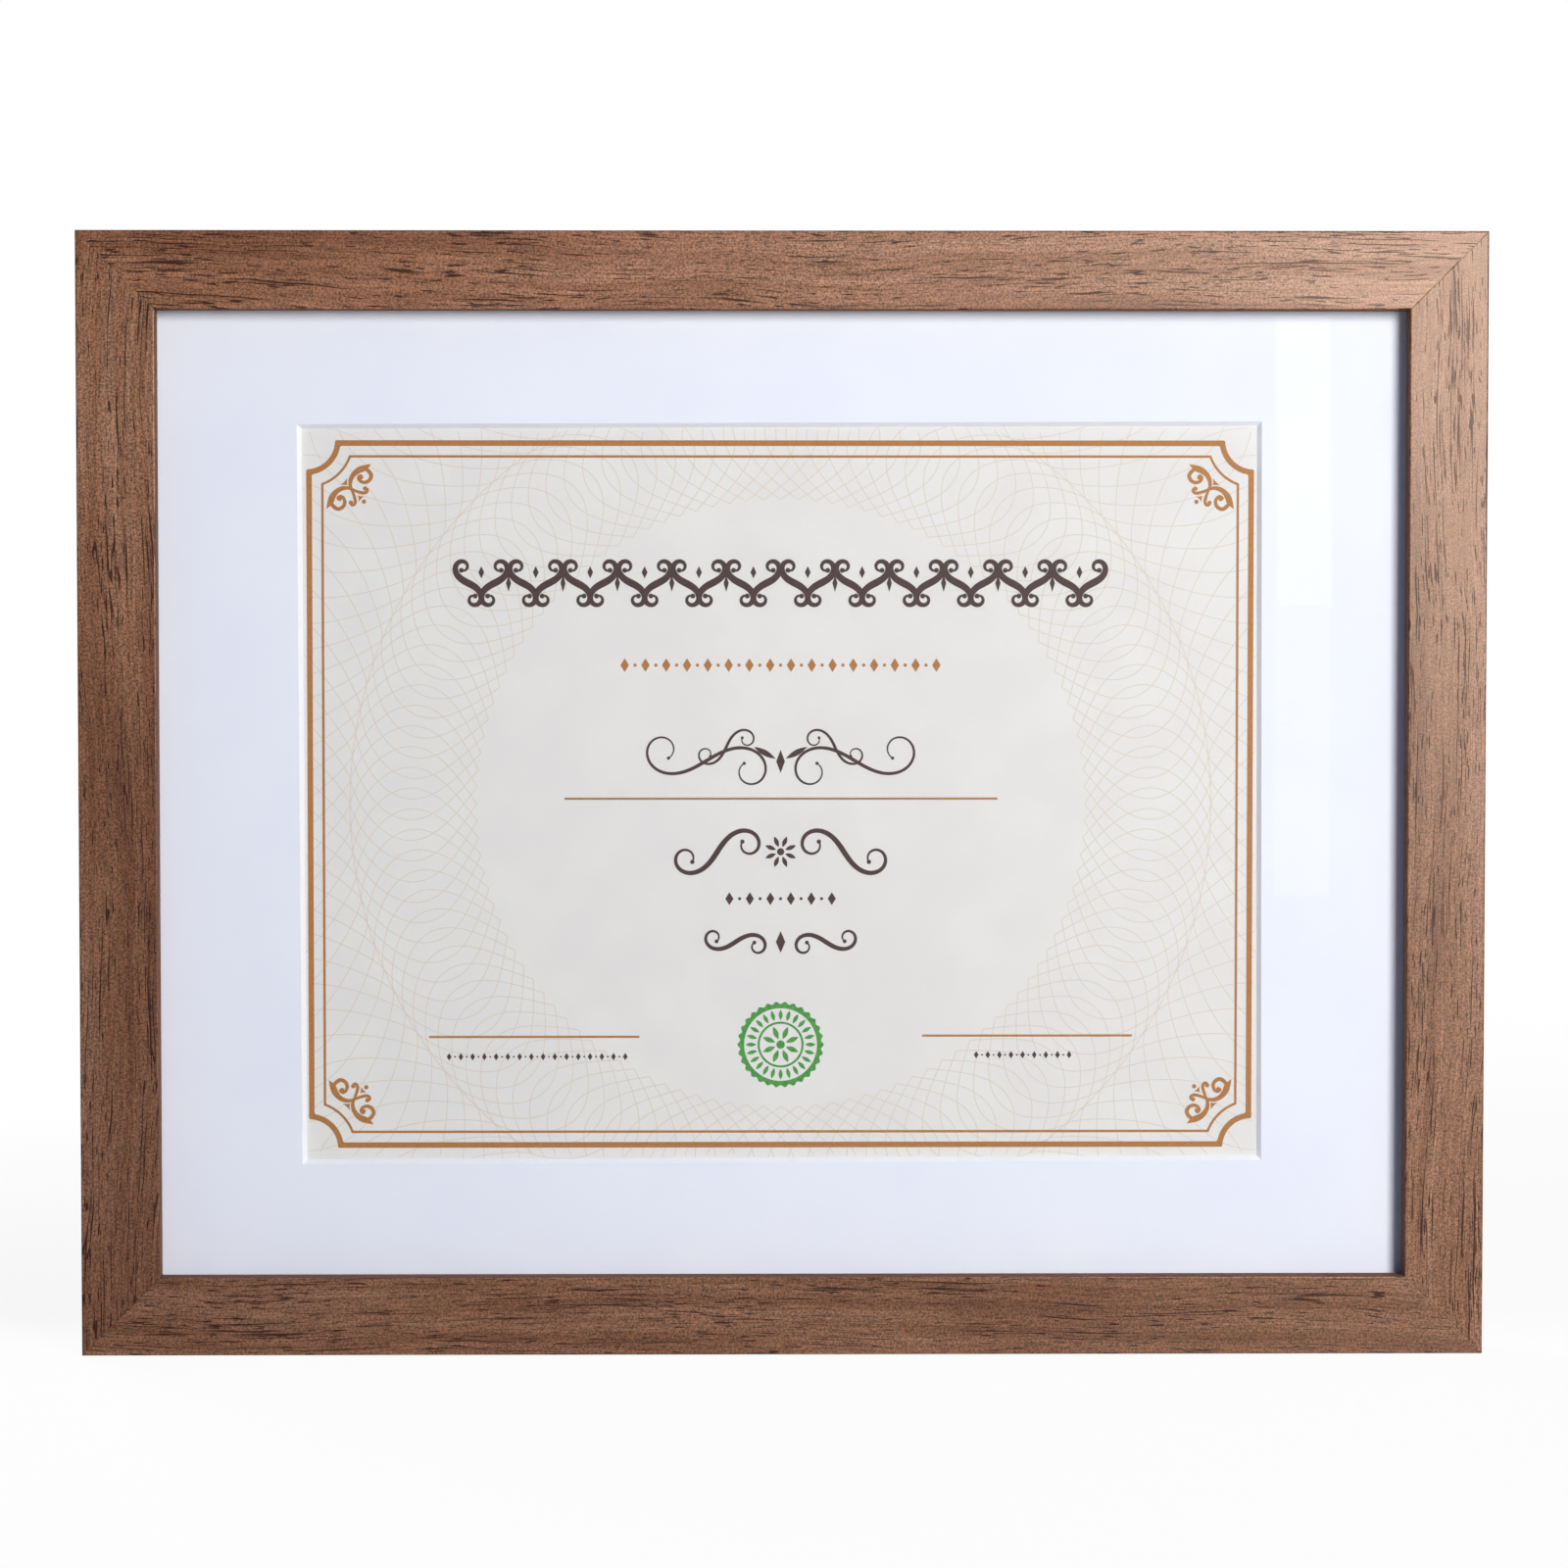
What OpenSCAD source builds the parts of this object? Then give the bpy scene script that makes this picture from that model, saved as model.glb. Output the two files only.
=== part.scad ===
// Document frame for a wall. Four mitred rails with a rabbet hold the glazing, a mat with a
// bevelled window, the document sheet, a filler and a backing board. Eight turn buttons on
// screws close the back, sawtooth hangers hold it in landscape or portrait, and V nails
// driven from behind hold the mitres.
// Millimetres. The front faces -Y and +Z is up. The plane y = 0 is the wall. The origin is the
// point of that plane behind the middle notch of the upper hanger, where the wall nail bears.

/* [Glazing] */
// Width of the glazing
glazing_w = 355.6; // [300:0.1:420]
// Height of the glazing
glazing_h = 279.4; // [240:0.1:340]
// Thickness of the glazing
glazing_t = 2; // [1.5:0.1:3]
// Play beside the glazing, at each end
play_x = 1; // [0.5:0.1:2]
// Play over the glazing, as a mean of top and bottom
play_z = 0.4; // [0.2:0.1:1]

/* [Moulding] */
// Width of a rail's front face
face_w = 21.5; // [20:0.1:30]
// Width of the lip that covers the edge of the glazing
lip_w = 7.3; // [5:0.1:8]
// Thickness of the lip, from the front face to the glazing
lip_t = 6.2; // [4:0.1:9]
// Radius of the outer front arris
outer_arris_r = 0.5; // [0.3:0.1:1.5]
// Radius of the arris at the sight edge
sight_arris_r = 0.4; // [0.3:0.1:1.5]
// Radius of the outer back arris
back_arris_r = 0.6; // [0.3:0.1:1.5]

/* [Mat] */
// Thickness of the mat board
mat_t = 1.4; // [1.2:0.1:2.4]
// Width of the mat's window at its front
window_w = 265.6; // [240:0.1:270]
// Height of the mat's window at its front
window_h = 204.4; // [180:0.1:208]
// Width of the bevel round the window, seen from the front
bevel_run = 1.2; // [0.8:0.1:2]
// How far the window is cut out of square with the board, in degrees
window_skew = 0.2; // [0:0.05:0.3]
// Sideways place of the window on the board
window_dx = -0.5; // [-1:0.1:1]
// Place of the window above the board's middle
window_dz = 0.5; // [-1:0.1:1]

/* [Document] */
// Width of the document sheet
sheet_w = 279.4; // [275:0.1:290]
// Height of the document sheet
sheet_h = 215.9; // [212:0.1:225]
// Thickness of the document sheet
sheet_t = 0.25; // [0.1:0.05:0.5]

/* [Back] */
// Thickness of the filler board
filler_t = 4; // [3:0.1:6]
// Thickness of the backing board
backing_t = 3; // [2.5:0.1:5]
// How far the backing board lies below the rails' back faces
backing_recess = 0.15; // [0.1:0.05:0.3]

/* [Turn buttons] */
// Thickness of a turn button's plate
button_t = 1; // [0.8:0.1:1.5]
// Radius of the plate round its screw
button_r = 5.2; // [4:0.1:6]
// Radius of the plate's tip
button_tip_r = 3.4; // [2.5:0.1:4]
// Distance from the screw to the middle of the tip
button_reach = 20; // [16:0.5:24]
// Distance of the buttons on the long rails from the frame's middle
button_x = 90; // [60:1:110]
// Distance of the buttons on the short rails from the frame's middle
button_z = 62; // [50:1:80]
// Radius of the screws' shanks
screw_r = 1.1; // [0.9:0.05:1.4]
// Length of the screws under their heads
screw_l = 11; // [8:0.5:12]
// Radius of the screws' heads
screw_head_r = 2.5; // [2.2:0.1:3]
// Height of the screws' heads
screw_head_h = 1.5; // [1.2:0.1:1.8]

/* [Hangers] */
// Length of a sawtooth hanger
hanger_l = 46; // [44:1:56]
// Height of a sawtooth hanger
hanger_h = 8.6; // [7:0.1:10]
// Thickness of the hangers' sheet
hanger_t = 0.7; // [0.5:0.1:1]
// How far a hanger's middle stands off the rail
hanger_rise = 1.9; // [1.5:0.1:2.2]
// Number of notches in a hanger
notches = 13; // [5:2:13]
// Distance from notch to notch
notch_pitch = 2; // [1.6:0.1:2.2]
// Depth of a notch
notch_depth = 1.2; // [0.8:0.1:1.5]

/* [Wall bumpers] */
// Radius of a wall bumper
bumper_r = 5; // [4:0.1:6]
// Height of a wall bumper
bumper_h = 3.5; // [3.3:0.1:5]
// Distance of the bumpers from the frame's ends
bumper_inset = 27; // [22:1:40]

/* [Hidden] */
$fn = 48;
// Sides of the round ends of the turn buttons' outlines
outline_fn = 32;

// How far a cutting tool runs past what it cuts
overrun = 1;
// Clearance round a nail or a screw in its hole in a rail
press_gap = 0.02;
// Clearance of a screw's shank in a turn button
running_gap = 0.06;
// Clearance over and under a turn button
button_gap = 0.08;

// The moulding's section and the frame's outside, worked out from the glazing
rabbet_wall = face_w - lip_w;
rabbet_depth = glazing_t + mat_t + sheet_t + filler_t + backing_t + backing_recess;
frame_depth = lip_t + rabbet_depth;
frame_w = glazing_w + 2 * (play_x + rabbet_wall);
frame_h = glazing_h + 2 * (play_z + rabbet_wall);

// Where each layer starts, from the front
glazing_y = -rabbet_depth;
mat_y = glazing_y + glazing_t;
sheet_y = mat_y + mat_t;
filler_y = sheet_y + sheet_t;
backing_y = filler_y + filler_t;

// V nails: two legs of bent strip with a bead along each tip, two nails to a corner
vnail_leg = 5;
vnail_t = 0.5;
vnail_bead_r = 0.5;
vnail_h = 10;
vnail_sink = 0.3;
vnail_outer_in = 3.4;
vnail_inner_in = 8;

// Fasteners and stamped details on the rails' backs
pilot_spare = 0.6;
screw_tip_l = 2.4;
screw_rim_h = 0.5;
screw_cross_l = 2.8;
screw_cross_w = 0.6;
screw_cross_depth = 0.8;
button_hole_r = screw_r + running_gap;
button_rib_r = 1.3;
button_rib_h = 0.35;
button_rib_l = 9;
button_rib_from = 7.5;
button_level = button_gap;
screw_head_y = button_level + button_t + button_gap;
hanger_tab_l = 6.5;
hanger_ramp_l = 2.2;
hanger_tab_r = 2.2;
brad_r = 0.65;
brad_l = 8;
brad_tip_l = 1.5;
brad_head_r = 1.5;
brad_head_h = 0.5;
brad_in = 3.4;
bumper_edge_r = 1.2;

// Places in a rail's own axes: x along the rail, z = 0 at its outer edge, y = 0 at its back
back_mid_z = -rabbet_wall / 2;
notch_z = back_mid_z - hanger_h / 2 + notch_depth;
hang_z = frame_h / 2 + notch_z;

// Moves the frame from its own middle and back plane to the wall and the hanging nail
module hung() translate([0, -bumper_h, -hang_z]) children();

// Each puts a rail's own axes on one side of the frame
module on_top() translate([0, 0, frame_h / 2]) children();
module on_bottom() translate([0, 0, -frame_h / 2]) rotate([0, 180, 0]) children();
module on_left() translate([-frame_w / 2, 0, 0]) rotate([0, -90, 0]) children();
module on_right() translate([frame_w / 2, 0, 0]) rotate([0, 90, 0]) children();

// A flat outline in X and Z, as thick as t, from the plane y = start towards the wall
module plate(start, t) translate([0, start + t, 0]) rotate([90, 0, 0]) linear_extrude(t) children();

// A turned shape whose axis points to the wall
module turned() rotate([-90, 0, 0]) rotate_extrude() children();

// What a rounding of radius r takes off a corner at the origin that fills +X and +Y
module arris_waste(r) difference() {
    translate([-overrun, -overrun]) square(overrun + r);
    translate([r, r]) circle(r);
}

// Section of the moulding: x from the outer edge inwards, y = 0 at the back
module rail_section() difference() {
    polygon([
        [0, 0], [rabbet_wall, 0], [rabbet_wall, -rabbet_depth],
        [face_w, -rabbet_depth], [face_w, -frame_depth], [0, -frame_depth],
    ]);
    translate([0, -frame_depth]) arris_waste(outer_arris_r);
    translate([face_w, -frame_depth]) mirror([1, 0]) arris_waste(sight_arris_r);
    mirror([0, 1]) arris_waste(back_arris_r);
}

// The prism between a rail's two mitre planes, past its faces
module mitre_prism(length) {
    outer = length / 2 + overrun;
    inner = length / 2 - face_w - overrun;
    plate(-frame_depth - overrun, frame_depth + 2 * overrun)
        polygon([[-outer, overrun], [outer, overrun],
                 [inner, -face_w - overrun], [-inner, -face_w - overrun]]);
}

// One V nail's outline: its bend is on the mitre, and each leg runs into one rail
module vnail_outline(gap) {
    for (swap = [false, true])
        mirror(swap ? [1, 1] : [0, 0]) {
            translate([-gap, -vnail_t - gap]) square([vnail_leg + 2 * gap, vnail_t + 2 * gap]);
            translate([vnail_leg, -vnail_t / 2]) circle(vnail_bead_r + gap);
        }
}

// The two V nails of the corner whose outer edges meet at the origin, with rails to +X and -Z
module vnail_pair(gap = 0)
    for (inset = [vnail_outer_in, vnail_inner_in])
        translate([inset, 0, -inset])
            plate(-vnail_sink - vnail_h - gap, vnail_h + gap + (gap > 0 ? vnail_sink + overrun : 0))
                vnail_outline(gap);

// A mitred rail in its own axes, with pilot holes for its two button screws
module mitred_rail(length, button_at, hanger) difference() {
    intersection() {
        translate([-length / 2, 0, 0]) rotate([0, 90, 0]) linear_extrude(length) rail_section();
        mitre_prism(length);
    }
    for (end = [0, 1])
        mirror([end, 0, 0]) {
            translate([-length / 2, 0, 0]) vnail_pair(press_gap);
            translate([button_at, 0, back_mid_z]) pilot_hole(screw_r, screw_l - screw_head_y);
            if (hanger)
                translate([hanger_l / 2 - brad_in, 0, back_mid_z]) pilot_hole(brad_r, brad_l - hanger_t);
        }
}

// A hole for a shank of radius r that goes depth into a rail
module pilot_hole(r, depth)
    translate([0, -depth - pilot_spare, 0])
        rotate([-90, 0, 0]) cylinder(r = r + press_gap, h = depth + pilot_spare + overrun);

module rail_top() color("#8a5f45") hung() on_top() mitred_rail(frame_w, button_x, true);
module rail_bottom() color("#8a5f45") hung() on_bottom() mitred_rail(frame_w, button_x, false);
module rail_left() color("#86593e") hung() on_left() mitred_rail(frame_h, button_z, true);
module rail_right() color("#86593e") hung() on_right() mitred_rail(frame_h, button_z, false);

// The V nails of one corner: side is -1 on the left and 1 on the right, level -1 at the bottom
module corner_nails(side, level)
    color("#8c8e90") hung()
        mirror([side > 0 ? 1 : 0, 0, 0]) mirror([0, 0, level < 0 ? 1 : 0])
            translate([-frame_w / 2, 0, frame_h / 2]) vnail_pair();

// A board of the glazing's size, resting on the bottom rail's rabbet
module board(start, t)
    translate([-glazing_w / 2, start, -glazing_h / 2 - play_z]) cube([glazing_w, t, glazing_h]);

module glazing() color("#dfe8ea", 0.35) hung() board(glazing_y, glazing_t);
module filler_board() color("#c2a27a") hung() board(filler_y, filler_t);
module backing_board() color("#6f5a48") hung() board(backing_y, backing_t);

// A wedge as long as length, whose half width shrinks by bevel_run over the mat's thickness
module bevel_wedge(half_w, length) {
    flare = bevel_run * overrun / mat_t;
    front = half_w + flare;
    back = half_w - bevel_run - flare;
    translate([0, 0, -length / 2]) linear_extrude(length)
        polygon([[-front, -overrun], [front, -overrun],
                 [back, mat_t + overrun], [-back, mat_t + overrun]]);
}

// The tool that cuts the mat's window with its bevel, from the mat's front plane
module window_cutter() intersection() {
    bevel_wedge(window_w / 2, window_h + 2 * overrun + 2 * bevel_run);
    rotate([0, 90, 0]) bevel_wedge(window_h / 2, window_w + 2 * overrun + 2 * bevel_run);
}

module mat_board() color("#f2f3f6") hung() difference() {
    board(mat_y, mat_t);
    translate([window_dx, mat_y, window_dz - play_z]) rotate([0, -window_skew, 0]) window_cutter();
}

module document_sheet() color("#efece2") hung()
    translate([window_dx - sheet_w / 2, sheet_y, window_dz - play_z - sheet_h / 2])
        cube([sheet_w, sheet_t, sheet_h]);

// A plate's outline with a round end of radius r at from and one of radius tip_r at to
module tapered_outline(r, tip_r, from, to) hull() {
    translate([from, 0]) circle(r, $fn = outline_fn);
    translate([to, 0]) circle(tip_r, $fn = outline_fn);
}

// The stiffening rib pressed into a button
module rib_outline(r) tapered_outline(r, r, button_rib_from, button_rib_from + button_rib_l);

// A turn button in a rail's axes, pointing over the backing board, with its screw hole
module turn_button(at) color("#a9abad") translate([at, 0, back_mid_z]) rotate([0, 90, 0])
    difference() {
        union() {
            plate(button_level, button_t) tapered_outline(button_r, button_tip_r, 0, button_reach);
            plate(button_level + button_t, button_rib_h) rib_outline(button_rib_r);
        }
        plate(button_level - overrun, button_rib_h + overrun) rib_outline(button_rib_r - button_rib_h);
        translate([0, button_level - overrun, 0])
            rotate([-90, 0, 0]) cylinder(r = button_hole_r, h = button_t + 2 * overrun);
    }

// Half a domed head with a straight rim, drawn from its seat up
module head_section(r, h, rim) {
    dome_h = h - rim;
    dome_r = (r * r + dome_h * dome_h) / (2 * dome_h);
    intersection() {
        square([r, h]);
        translate([0, h - dome_r]) circle(dome_r);
    }
}

// Half a pointed shank that hangs below its seat
module shank_section(r, length, tip_l)
    polygon([[0, 0], [r, 0], [r, tip_l - length], [0, -length]]);

// A pan head screw in a rail's axes, its head's seat over the turn button
module button_screw(at) translate([at, screw_head_y, back_mid_z]) difference() {
    turned() {
        head_section(screw_head_r, screw_head_h, screw_rim_h);
        shank_section(screw_r, screw_l, screw_tip_l);
    }
    for (turn = [0, 90])
        rotate([0, turn, 0])
            translate([-screw_cross_l / 2, screw_head_h - screw_cross_depth, -screw_cross_w / 2])
                cube([screw_cross_l, screw_cross_depth + overrun, screw_cross_w]);
}

module button_screws() color("#b9bbbd") hung() {
    for (at = [-button_x, button_x]) {
        on_top() button_screw(at);
        on_bottom() button_screw(at);
    }
    for (at = [-button_z, button_z]) {
        on_left() button_screw(at);
        on_right() button_screw(at);
    }
}

// A hanger's strip seen from its edge: flat tabs on the rail and a raised middle
module hanger_section() {
    half = hanger_l / 2;
    tab = half - hanger_tab_l;
    mid = tab - hanger_ramp_l;
    // The outer skin's bends lie further in by this much, so that the ramps keep their thickness
    shift = hanger_t * tan(atan(hanger_rise / hanger_ramp_l) / 2);
    polygon([
        [-half, 0], [-tab, 0], [-mid, hanger_rise], [mid, hanger_rise], [tab, 0], [half, 0],
        [half, hanger_t], [tab + shift, hanger_t], [mid + shift, hanger_rise + hanger_t],
        [-mid - shift, hanger_rise + hanger_t], [-tab - shift, hanger_t], [-half, hanger_t],
    ]);
}

// Corners of a tab's end that the stamping rounds off
module tab_corner_waste() translate([-hanger_l / 2, -hanger_h / 2]) arris_waste(hanger_tab_r);

// A sawtooth hanger in a rail's axes: the notches are on the edge nearest the frame's middle
module sawtooth_hanger() translate([0, 0, back_mid_z]) difference() {
    translate([0, 0, -hanger_h / 2]) linear_extrude(hanger_h) hanger_section();
    for (n = [0 : notches - 1])
        translate([(n - (notches - 1) / 2) * notch_pitch, 0, -hanger_h / 2])
            plate(-overrun, hanger_rise + hanger_t + 2 * overrun) notch_outline();
    for (flip_x = [0, 1], flip_z = [0, 1])
        mirror([flip_x, 0, 0]) mirror([0, 0, flip_z])
            plate(-overrun, hanger_t + 2 * overrun) tab_corner_waste();
    for (side = [-1, 1])
        translate([side * (hanger_l / 2 - brad_in), -overrun, 0])
            rotate([-90, 0, 0]) cylinder(r = brad_r + press_gap, h = hanger_t + 2 * overrun);
}

// A notch with straight flanks that meet at its depth; its mouth is as wide as the pitch
module notch_outline() {
    flare = overrun * notch_pitch / (2 * notch_depth);
    half_mouth = notch_pitch / 2 + flare;
    polygon([[-half_mouth, -overrun], [half_mouth, -overrun], [0, notch_depth]]);
}

module hanger_landscape() color("#c9c4b4") hung() on_top() sawtooth_hanger();
module hanger_portrait() color("#c9c4b4") hung() on_left() sawtooth_hanger();

// A round head brad through a hanger's tab, in a rail's axes
module brad(at) translate([at, hanger_t, back_mid_z]) turned() {
    head_section(brad_head_r, brad_head_h, brad_head_h / 2);
    shank_section(brad_r, brad_l, brad_tip_l);
}

module hanger_nails() color("#c9c4b4") hung()
    for (side = [-1, 1]) {
        at = side * (hanger_l / 2 - brad_in);
        on_top() brad(at);
        on_left() brad(at);
    }

// A self-adhesive bumper, its seat at the origin
module bumper() turned() difference() {
    square([bumper_r, bumper_h]);
    translate([bumper_r, bumper_h]) mirror([1, 1]) arris_waste(bumper_edge_r);
}

module wall_bumpers() color("#3a3a3c") hung()
    for (side = [-1, 1]) {
        at = side * (frame_w / 2 - bumper_inset);
        on_top() translate([at, 0, back_mid_z]) bumper();
        on_bottom() translate([at, 0, back_mid_z]) bumper();
    }

rail_top();
rail_bottom();
rail_left();
rail_right();
corner_nails(-1, 1);  // corner_nails_top_left
corner_nails(1, 1);  // corner_nails_top_right
corner_nails(-1, -1);  // corner_nails_bottom_left
corner_nails(1, -1);  // corner_nails_bottom_right
glazing();
mat_board();
document_sheet();
filler_board();
backing_board();
hung() on_top() turn_button(-button_x);  // button_top_left
hung() on_top() turn_button(button_x);  // button_top_right
hung() on_bottom() turn_button(button_x);  // button_bottom_left
hung() on_bottom() turn_button(-button_x);  // button_bottom_right
hung() on_left() turn_button(button_z);  // button_left_upper
hung() on_left() turn_button(-button_z);  // button_left_lower
hung() on_right() turn_button(-button_z);  // button_right_upper
hung() on_right() turn_button(button_z);  // button_right_lower
button_screws();
hanger_landscape();
hanger_portrait();
hanger_nails();
wall_bumpers();
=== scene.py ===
"""Looks of a document frame: walnut-look rails, glazing, mat, printed sheet and back fittings."""

import math

import bmesh
import bpy
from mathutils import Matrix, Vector


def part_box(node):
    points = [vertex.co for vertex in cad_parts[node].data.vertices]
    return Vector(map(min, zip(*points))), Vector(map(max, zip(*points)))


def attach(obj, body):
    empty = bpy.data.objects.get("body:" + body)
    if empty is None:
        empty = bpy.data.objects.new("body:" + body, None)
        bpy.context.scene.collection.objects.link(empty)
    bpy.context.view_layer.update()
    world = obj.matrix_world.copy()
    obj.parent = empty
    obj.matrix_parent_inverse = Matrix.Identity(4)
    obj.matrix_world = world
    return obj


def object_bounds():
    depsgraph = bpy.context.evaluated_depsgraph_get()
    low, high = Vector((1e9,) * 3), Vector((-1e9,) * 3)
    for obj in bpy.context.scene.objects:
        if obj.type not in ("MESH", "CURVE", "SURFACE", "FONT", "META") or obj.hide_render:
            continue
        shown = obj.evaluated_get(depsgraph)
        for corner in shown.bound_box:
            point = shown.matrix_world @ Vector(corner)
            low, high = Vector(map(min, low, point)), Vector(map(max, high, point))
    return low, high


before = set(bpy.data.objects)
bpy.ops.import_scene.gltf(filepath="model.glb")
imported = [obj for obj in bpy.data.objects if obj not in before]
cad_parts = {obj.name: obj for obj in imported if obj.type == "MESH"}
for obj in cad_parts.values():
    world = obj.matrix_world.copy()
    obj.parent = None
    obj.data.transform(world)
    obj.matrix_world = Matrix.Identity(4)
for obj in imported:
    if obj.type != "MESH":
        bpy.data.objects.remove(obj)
cad_low, cad_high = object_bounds()

MM = 0.001
TAU = 2 * math.pi
MIDDLE = (cad_low + cad_high) / 2
HALF_WIDTH = (cad_high.x - cad_low.x) / 2
HALF_HEIGHT = (cad_high.z - cad_low.z) / 2
FRONT = cad_low.y
RAIL_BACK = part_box("rail_top")[1].y
SHEET_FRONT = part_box("document_sheet")[0].y


def srgb(red, green, blue):
    """A colour written as the eye reads it, 0 to 255, as Blender's linear one."""

    def linear(level):
        share = level / 255
        return share / 12.92 if share <= 0.04045 else ((share + 0.055) / 1.055) ** 2.4

    return (linear(red), linear(green), linear(blue), 1.0)


WHITE = (1.0, 1.0, 1.0, 1.0)


# Camera: a pinhole 1.2 m in front of the face, solved on the frame's four outer corners.
# Pitch and yaw are in degrees, the lens and the sensor in mm.

CAMERA_FROM_MIDDLE = Vector((-12.16, -1200.0, 53.14)) * MM
CAMERA_PITCH = -2.385
CAMERA_YAW = -0.592
CAMERA_LENS = 100.575
CAMERA_SENSOR = 36.0
CAMERA_NEAREST = 0.05
CAMERA_FARTHEST = 60.0


def make_camera():
    data = bpy.data.cameras.new("camera")
    data.sensor_width = CAMERA_SENSOR
    data.lens = CAMERA_LENS
    data.clip_start = CAMERA_NEAREST
    data.clip_end = CAMERA_FARTHEST
    camera = bpy.data.objects.new("camera", data)
    bpy.context.scene.collection.objects.link(camera)
    face_middle = Vector((MIDDLE.x, FRONT, MIDDLE.z))
    camera.location = face_middle + CAMERA_FROM_MIDDLE
    camera.rotation_euler = (math.radians(90 + CAMERA_PITCH), 0, math.radians(CAMERA_YAW))
    bpy.context.scene.camera = camera


# Node trees


class Graph:
    """One node tree. Each call adds a node and gives the socket that carries its result."""

    def __init__(self, tree):
        self.tree = tree
        tree.nodes.clear()

    def add(self, kind, **fields):
        node = self.tree.nodes.new(kind)
        for field, value in fields.items():
            setattr(node, field, value)
        return node

    def put(self, socket, value):
        if isinstance(value, bpy.types.NodeSocket):
            self.tree.links.new(value, socket)
        else:
            socket.default_value = value

    def math(self, operation, first, second=0.0, clamp=False):
        node = self.add("ShaderNodeMath", operation=operation, use_clamp=clamp)
        self.put(node.inputs[0], first)
        self.put(node.inputs[1], second)
        return node.outputs[0]

    def ramp(self, value, start, end, low=0.0, high=1.0):
        """value eased from low at start to high at end."""
        node = self.add("ShaderNodeMapRange", interpolation_type="SMOOTHSTEP")
        for socket, given in zip(node.inputs[:5], (value, start, end, low, high)):
            self.put(socket, given)
        return node.outputs[0]

    def vector(self, x, y, z=0.0):
        node = self.add("ShaderNodeCombineXYZ")
        for socket, given in zip(node.inputs, (x, y, z)):
            self.put(socket, given)
        return node.outputs[0]

    def stretched(self, vector, factors):
        node = self.add("ShaderNodeVectorMath", operation="MULTIPLY")
        self.put(node.inputs[0], vector)
        node.inputs[1].default_value = factors
        return node.outputs[0]

    def noise(self, vector, scale=1.0, detail=2.0, roughness=0.5):
        node = self.add("ShaderNodeTexNoise")
        self.put(node.inputs["Vector"], vector)
        node.inputs["Scale"].default_value = scale
        node.inputs["Detail"].default_value = detail
        node.inputs["Roughness"].default_value = roughness
        return node.outputs[0]

    def streaked(self, vector, scales, detail=2.0, roughness=0.5):
        """Noise with a scale of its own along each of two directions."""
        placed = self.stretched(vector, (*scales, 1.0))
        return self.noise(placed, detail=detail, roughness=roughness)

    def spread(self, noise, low=0.0, high=1.0):
        """A noise's usual range, eased over low to high."""
        return self.ramp(noise, 0.3, 0.7, low, high)

    def mix(self, share, first, second):
        node = self.add("ShaderNodeMix", data_type="RGBA", clamp_factor=True)
        self.put(node.inputs[0], share)
        self.put(node.inputs[6], first)
        self.put(node.inputs[7], second)
        return node.outputs[2]

    def shade(self, colour, factor):
        """colour multiplied by a grey factor."""
        node = self.add("ShaderNodeVectorMath", operation="SCALE")
        self.put(node.inputs[0], colour)
        self.put(node.inputs["Scale"], factor)
        return node.outputs[0]

    def place(self):
        """Place on the object, in metres."""
        return self.add("ShaderNodeTexCoord").outputs["Object"]

    def split(self, vector):
        """The x, y and z of a vector."""
        node = self.add("ShaderNodeSeparateXYZ")
        self.put(node.inputs[0], vector)
        return node.outputs

    def normal_y(self):
        """The flat normal's y: -1 where a face looks to the front, 1 where it looks to the back."""
        return self.split(self.add("ShaderNodeNewGeometry").outputs["True Normal"])[1]

    def bump(self, height, distance, strength=1.0):
        node = self.add("ShaderNodeBump")
        node.inputs["Strength"].default_value = strength
        node.inputs["Distance"].default_value = distance
        self.put(node.inputs["Height"], height)
        return node.outputs[0]

    def mixed(self, share, first, second):
        """Two shaders, the second to the share given."""
        node = self.add("ShaderNodeMixShader")
        for socket, given in zip(node.inputs, (share, first, second)):
            self.put(socket, given)
        return node.outputs[0]

    def surface(self, shader):
        out = self.add("ShaderNodeOutputMaterial")
        self.put(out.inputs["Surface"], shader)

    def principled(self, **given):
        """A Principled shader; each name is a socket's, with underscores for spaces."""
        node = self.add("ShaderNodeBsdfPrincipled")
        for name, value in given.items():
            self.put(node.inputs[name.replace("_", " ")], value)
        self.surface(node.outputs[0])


def new_material(name):
    material = bpy.data.materials.new(name)
    material.use_nodes = True
    return material, Graph(material.node_tree)


# Wood-look wrap and its MDF core

WOOD_LIGHT = srgb(154, 113, 89)
WOOD_MID = srgb(138, 94, 68)
WOOD_DARK = srgb(113, 70, 48)
WOOD_PORE = srgb(46, 18, 14)
WOOD_LIP = srgb(116, 79, 62)
SHEEN_TINT = (1.0, 0.79, 0.66, 1.0)
MDF_PALE = srgb(190, 157, 120)
MDF_DARK = srgb(150, 116, 84)

# Patterns of the wrap: how many features a metre holds, along the grain and across it
WOOD_DRIFT = (4.0, 14.0)
WOOD_RIPPLE = (22.0, 60.0)
WOOD_BANDS = (4.0, 170.0)
WOOD_PATCHES = (9.0, 30.0)
WOOD_STREAKS = (26.0, 950.0)
WOOD_FIBRES = (110.0, 2400.0)
WOOD_CROWDS = (16.0, 130.0)
WOOD_ARCHES = (11.0, 18.0)
WOOD_LONG_PORES = (32.0, 1500.0)
WOOD_SHORT_PORES = (150.0, 1600.0)
WOOD_DOTS = (560.0, 1700.0)
WOOD_SPECKLE = 1700.0

DRIFT_REACH = 26.0 * MM
RIPPLE_REACH = 3.6 * MM
SPECKLE_CONTRAST = 0.52
PORE_CROWDING = 0.058
PORE_STRENGTH = 0.92
WRAP_RELIEF = 0.024 * MM
MITRE_DEPTH = 4.0

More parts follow.
